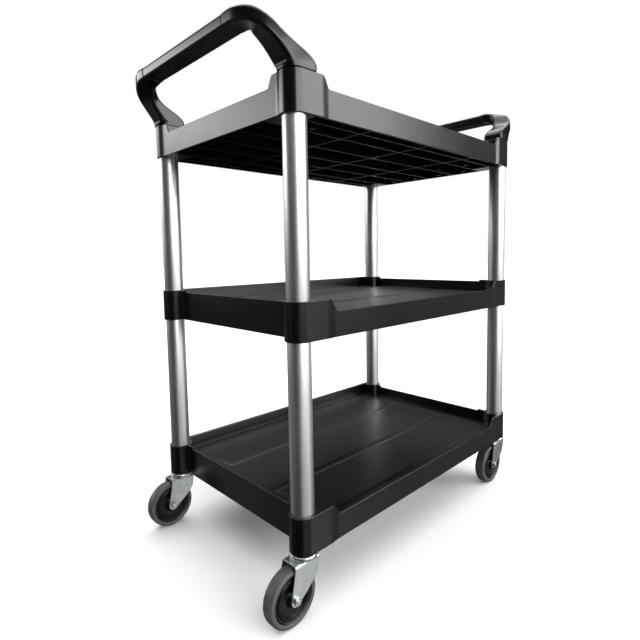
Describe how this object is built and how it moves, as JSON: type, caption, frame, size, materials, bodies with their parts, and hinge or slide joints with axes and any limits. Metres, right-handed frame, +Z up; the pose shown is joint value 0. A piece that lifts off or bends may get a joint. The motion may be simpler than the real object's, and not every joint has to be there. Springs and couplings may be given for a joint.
{
  "type": "rolling utility cart",
  "caption": "Open three-shelf utility cart with moulded trays, round aluminium uprights, a push handle at each end and swivel casters.",
  "frame": {"origin": "on the floor under the centre of the cart", "axes": "+Z up; +X along the cart to the front handle, the way it rolls with the casters trailing; +Y across the cart to its left long side; the shelves' low lip faces -Y"},
  "size_m": [0.8606, 0.474, 0.9858],
  "materials": {
    "black_plastic": "black structural foam moulding with a fine satin texture",
    "handle_plastic": "black moulding, slightly glossier than the shelves",
    "upright_aluminium": "satin anodised extruded tube",
    "zinc_plate": "pressed steel with bright zinc plate",
    "bright_steel": "bare bright steel",
    "wheel_plastic": "black moulded wheel centre",
    "tyre_rubber": "grey non-marking rubber tread"
  },
  "bodies": {
    "cart": {"bottom_shelf": "black_plastic", "middle_shelf": "black_plastic", "top_shelf": "black_plastic", "lower_upright_front_left": "upright_aluminium", "upper_upright_front_left": "upright_aluminium", "lower_upright_front_right": "upright_aluminium", "upper_upright_front_right": "upright_aluminium", "lower_upright_rear_left": "upright_aluminium", "upper_upright_rear_left": "upright_aluminium", "lower_upright_rear_right": "upright_aluminium", "upper_upright_rear_right": "upright_aluminium", "rear_handle": "handle_plastic", "front_handle": "handle_plastic", "handle_screw_front_left": "zinc_plate", "handle_screw_front_right": "zinc_plate", "handle_screw_rear_left": "zinc_plate", "handle_screw_rear_right": "zinc_plate", "caster_stem_front_left": "zinc_plate", "swivel_race_cup_front_left": "zinc_plate", "caster_stem_front_right": "zinc_plate", "swivel_race_cup_front_right": "zinc_plate", "caster_stem_rear_left": "zinc_plate", "swivel_race_cup_rear_left": "zinc_plate", "caster_stem_rear_right": "zinc_plate", "swivel_race_cup_rear_right": "zinc_plate"},
    "swivel_front_left": {"caster_fork_front_left": "zinc_plate", "swivel_ball_ring_front_left": "bright_steel", "axle_bolt_front_left": "zinc_plate", "axle_nut_front_left": "zinc_plate", "axle_sleeve_front_left": "bright_steel"},
    "wheel_front_left": {"wheel_hub_front_left": "wheel_plastic", "tyre_front_left": "tyre_rubber"},
    "swivel_front_right": {"caster_fork_front_right": "zinc_plate", "swivel_ball_ring_front_right": "bright_steel", "axle_bolt_front_right": "zinc_plate", "axle_nut_front_right": "zinc_plate", "axle_sleeve_front_right": "bright_steel"},
    "wheel_front_right": {"wheel_hub_front_right": "wheel_plastic", "tyre_front_right": "tyre_rubber"},
    "swivel_rear_left": {"caster_fork_rear_left": "zinc_plate", "swivel_ball_ring_rear_left": "bright_steel", "axle_bolt_rear_left": "zinc_plate", "axle_nut_rear_left": "zinc_plate", "axle_sleeve_rear_left": "bright_steel"},
    "wheel_rear_left": {"wheel_hub_rear_left": "wheel_plastic", "tyre_rear_left": "tyre_rubber"},
    "swivel_rear_right": {"caster_fork_rear_right": "zinc_plate", "swivel_ball_ring_rear_right": "bright_steel", "axle_bolt_rear_right": "zinc_plate", "axle_nut_rear_right": "zinc_plate", "axle_sleeve_rear_right": "bright_steel"},
    "wheel_rear_right": {"wheel_hub_rear_right": "wheel_plastic", "tyre_rear_right": "tyre_rubber"}
  },
  "joints": [
    {"name": "front_left_swivel", "type": "hinge", "parent": "cart", "child": "swivel_front_left", "pos_m": [0.3475, 0.2125, 0.11], "axis": [0, 0, 1], "continuous": true},
    {"name": "front_left_wheel_roll", "type": "hinge", "parent": "swivel_front_left", "child": "wheel_front_left", "pos_m": [0.3155, 0.2125, 0.0495], "axis": [0, 1, 0], "continuous": true},
    {"name": "front_right_swivel", "type": "hinge", "parent": "cart", "child": "swivel_front_right", "pos_m": [0.3475, -0.2125, 0.11], "axis": [0, 0, 1], "continuous": true},
    {"name": "front_right_wheel_roll", "type": "hinge", "parent": "swivel_front_right", "child": "wheel_front_right", "pos_m": [0.3155, -0.2125, 0.0495], "axis": [0, 1, 0], "continuous": true},
    {"name": "rear_left_swivel", "type": "hinge", "parent": "cart", "child": "swivel_rear_left", "pos_m": [-0.3475, 0.2125, 0.11], "axis": [0, 0, 1], "continuous": true},
    {"name": "rear_left_wheel_roll", "type": "hinge", "parent": "swivel_rear_left", "child": "wheel_rear_left", "pos_m": [-0.3795, 0.2125, 0.0495], "axis": [0, 1, 0], "continuous": true},
    {"name": "rear_right_swivel", "type": "hinge", "parent": "cart", "child": "swivel_rear_right", "pos_m": [-0.3475, -0.2125, 0.11], "axis": [0, 0, 1], "continuous": true},
    {"name": "rear_right_wheel_roll", "type": "hinge", "parent": "swivel_rear_right", "child": "wheel_rear_right", "pos_m": [-0.3795, -0.2125, 0.0495], "axis": [0, 1, 0], "continuous": true}
  ]
}
